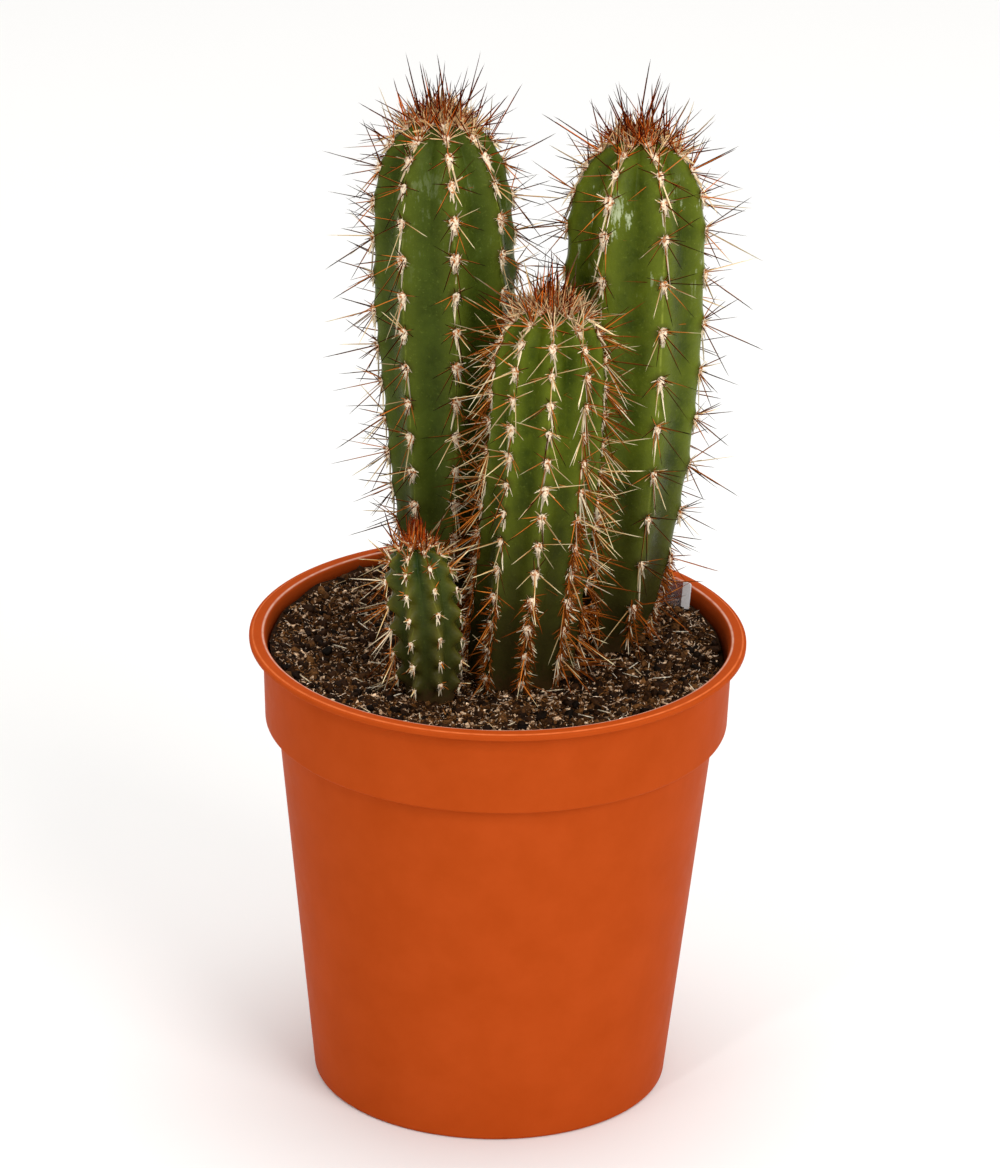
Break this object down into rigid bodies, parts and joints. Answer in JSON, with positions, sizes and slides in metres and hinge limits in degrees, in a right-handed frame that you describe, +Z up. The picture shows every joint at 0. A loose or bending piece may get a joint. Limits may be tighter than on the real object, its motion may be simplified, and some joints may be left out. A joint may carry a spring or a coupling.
{
  "type": "potted tall cactus",
  "caption": "Columnar cactus with ribbed, spiny stems of different heights, growing in soil in a round tapered plastic nursery pot.",
  "frame": {"origin": "centre of the pot's base, on the surface that the pot stands on", "axes": "+Z up through the pot, -Y towards the front, where the smallest stem grows, +X to the right seen from the front"},
  "size_m": [0.12, 0.12, 0.255],
  "materials": {
    "pot_plastic": "satin injection-moulded polypropylene, terracotta orange",
    "soil": "loose moist peat soil with fibres and a few pale grains",
    "stem_dark": "smooth waxy dark green skin with cream and red-brown spines",
    "stem_bright": "smooth waxy fresh green skin with cream and red-brown spines",
    "label_plastic": "thin milky polystyrene, blank"
  },
  "bodies": {
    "root": {"pot": "pot_plastic", "soil": "soil", "stem_left": "stem_dark", "stem_right": "stem_bright", "stem_centre": "stem_bright", "stem_small": "stem_dark", "plant_label": "label_plastic"}
  },
  "joints": []
}
